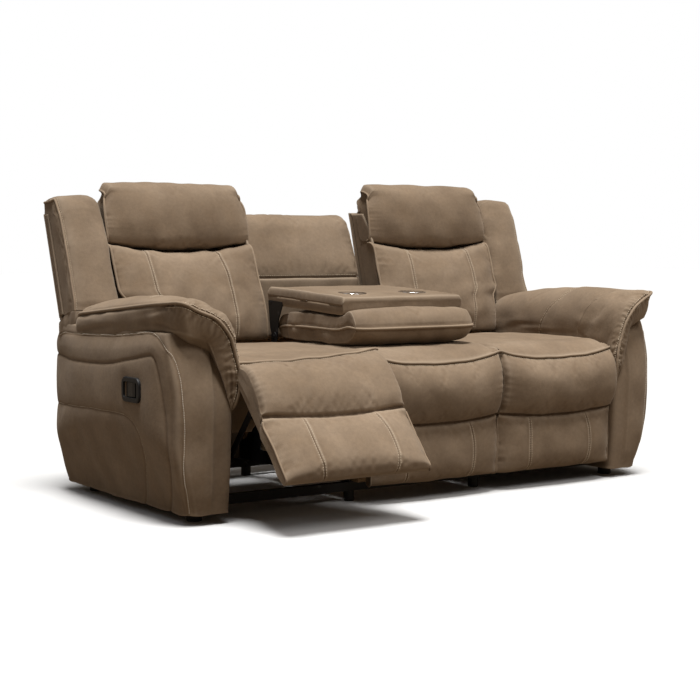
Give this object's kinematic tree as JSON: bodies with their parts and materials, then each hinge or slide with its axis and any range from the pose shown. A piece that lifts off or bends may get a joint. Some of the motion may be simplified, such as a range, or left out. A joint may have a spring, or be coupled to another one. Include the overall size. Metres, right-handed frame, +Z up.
{
  "type": "reclining sofa",
  "caption": "Upholstered sofa with reclining outer seats, swing-up leg rests, wing backs, pad arms and a fold-down centre table with cup holders.",
  "frame": {"origin": "middle of the overall box at floor level, with the left leg rest half raised as at rest", "axes": "+X to the right as seen by someone facing the sofa, +Y from the front to the back, +Z up"},
  "size_m": [2.064, 1.3206, 1.0983],
  "materials": {
    "upholstery": "matte",
    "timber": "matte",
    "spring_steel": "satin",
    "cup_metal": "polished",
    "handle_plastic": "satin",
    "lever_plastic": "satin",
    "cable_sheath": "satin",
    "foot_plastic": "matte",
    "mechanism_steel": "satin"
  },
  "bodies": {
    "base": {"left_arm_cover": "upholstery", "left_arm_pad": "upholstery", "left_arm_frame": "timber", "left_handle_bezel": "handle_plastic", "left_release_cable": "cable_sheath", "left_mechanism_plates": "mechanism_steel", "left_seat_frame": "timber", "left_seat_springs": "spring_steel", "left_seat_cushion": "upholstery", "right_arm_cover": "upholstery", "right_arm_pad": "upholstery", "right_arm_frame": "timber", "right_handle_bezel": "handle_plastic", "right_release_cable": "cable_sheath", "right_mechanism_plates": "mechanism_steel", "right_seat_frame": "timber", "right_seat_springs": "spring_steel", "right_seat_cushion": "upholstery", "front_rail": "mechanism_steel", "rear_rail": "mechanism_steel", "rear_base_panel": "upholstery", "feet": "foot_plastic", "centre_seat_frame": "timber", "centre_seat_springs": "spring_steel", "centre_seat_cushion": "upholstery", "centre_front_pad": "upholstery", "centre_front_board": "timber", "centre_back_panel": "upholstery", "centre_back_frame": "timber", "console_hinge_brackets": "mechanism_steel"},
    "left_back": {"left_back_shell": "upholstery", "left_back_frame": "timber", "left_lumbar_cushion": "upholstery", "left_head_pillow": "upholstery", "left_wing": "upholstery", "left_back_brackets": "mechanism_steel"},
    "left_footrest": {"left_footrest_pad": "upholstery", "left_footrest_board": "timber", "left_footrest_brackets": "mechanism_steel"},
    "left_crank": {"left_drive_cranks": "mechanism_steel"},
    "left_coupler": {"left_coupler_links": "mechanism_steel"},
    "left_lever": {"left_release_lever": "lever_plastic"},
    "right_back": {"right_back_shell": "upholstery", "right_back_frame": "timber", "right_lumbar_cushion": "upholstery", "right_head_pillow": "upholstery", "right_wing": "upholstery", "right_back_brackets": "mechanism_steel"},
    "right_footrest": {"right_footrest_pad": "upholstery", "right_footrest_board": "timber", "right_footrest_brackets": "mechanism_steel"},
    "right_crank": {"right_drive_cranks": "mechanism_steel"},
    "right_coupler": {"right_coupler_links": "mechanism_steel"},
    "right_lever": {"right_release_lever": "lever_plastic"},
    "console": {"console_tray_cover": "upholstery", "console_board": "timber", "console_cup_holders": "cup_metal", "console_pillow": "upholstery", "console_hinge_arms": "mechanism_steel"}
  },
  "joints": [
    {"name": "left_back_recline", "type": "hinge", "parent": "base", "child": "left_back", "pos_m": [0, 0.3483, 0.4], "axis": [-1, 0, 0], "range_deg": [-5, 30]},
    {"name": "left_footrest_lift", "type": "hinge", "parent": "base", "child": "left_footrest", "pos_m": [0, -0.3287, 0.527], "axis": [-1, 0, 0], "range_deg": [-43.5, 46.5]},
    {"name": "left_crank_swing", "type": "hinge", "parent": "base", "child": "left_crank", "pos_m": [0, -0.1717, 0.34], "axis": [-1, 0, 0], "range_deg": [-43.5, 46.5]},
    {"name": "left_coupler_swing", "type": "hinge", "parent": "left_crank", "child": "left_coupler", "pos_m": [0, -0.26596, 0.15787], "axis": [-1, 0, 0], "range_deg": [-46.5, 43.5]},
    {"name": "left_lever_pull", "type": "hinge", "parent": "base", "child": "left_lever", "pos_m": [-1.018, -0.0817, 0.407], "axis": [0, 0, -1], "range_deg": [0, 25], "stiffness_Nm_per_rad": 0.6},
    {"name": "right_back_recline", "type": "hinge", "parent": "base", "child": "right_back", "pos_m": [0, 0.3483, 0.4], "axis": [-1, 0, 0], "range_deg": [0, 35]},
    {"name": "right_footrest_lift", "type": "hinge", "parent": "base", "child": "right_footrest", "pos_m": [0, -0.3287, 0.527], "axis": [-1, 0, 0], "range_deg": [0, 90]},
    {"name": "right_crank_swing", "type": "hinge", "parent": "base", "child": "right_crank", "pos_m": [0, -0.1717, 0.34], "axis": [-1, 0, 0], "range_deg": [0, 90]},
    {"name": "right_coupler_swing", "type": "hinge", "parent": "right_crank", "child": "right_coupler", "pos_m": [0, -0.1147, 0.143], "axis": [-1, 0, 0], "range_deg": [-90, 0]},
    {"name": "right_lever_pull", "type": "hinge", "parent": "base", "child": "right_lever", "pos_m": [1.018, -0.0817, 0.407], "axis": [0, 0, 1], "range_deg": [0, 25], "stiffness_Nm_per_rad": 0.6},
    {"name": "console_fold", "type": "hinge", "parent": "base", "child": "console", "pos_m": [0, 0.2783, 0.53], "axis": [-1, 0, 0], "range_deg": [0, 100]}
  ],
  "couplings": [
    {"joint": "left_crank_swing", "follows": "left_footrest_lift", "ratio": 1},
    {"joint": "left_coupler_swing", "follows": "left_footrest_lift", "ratio": -1},
    {"joint": "right_crank_swing", "follows": "right_footrest_lift", "ratio": 1},
    {"joint": "right_coupler_swing", "follows": "right_footrest_lift", "ratio": -1}
  ]
}
